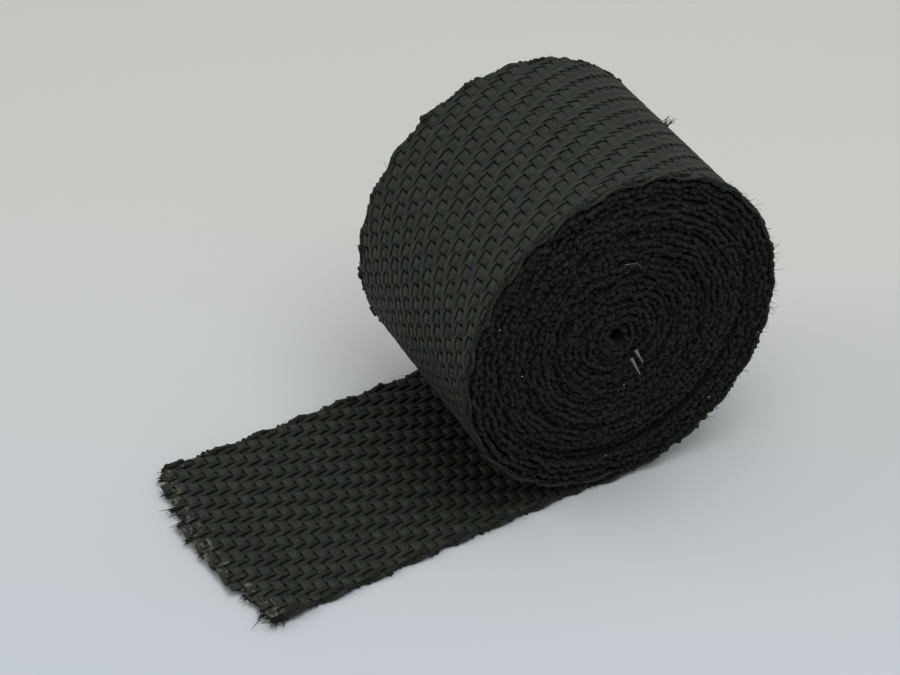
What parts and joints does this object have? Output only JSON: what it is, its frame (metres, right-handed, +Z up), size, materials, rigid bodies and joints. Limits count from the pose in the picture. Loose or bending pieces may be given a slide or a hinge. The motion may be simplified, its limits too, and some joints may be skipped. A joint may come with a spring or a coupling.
{
  "type": "exhaust heat wrap roll",
  "caption": "Hand-wound roll of black woven heat wrap tape lying on its side, with its loose end run out flat along the floor.",
  "frame": {"origin": "on the floor, under the middle of the part's box", "axes": "+Z up from the floor, +Y along the roll's axis to its far end, and -X the way the loose end runs out"},
  "size_m": [0.1248, 0.059, 0.0794],
  "materials": {
    "black_woven_tape": "woven, dull"
  },
  "bodies": {
    "root": {"heat_wrap_tape": "black_woven_tape"}
  },
  "joints": []
}
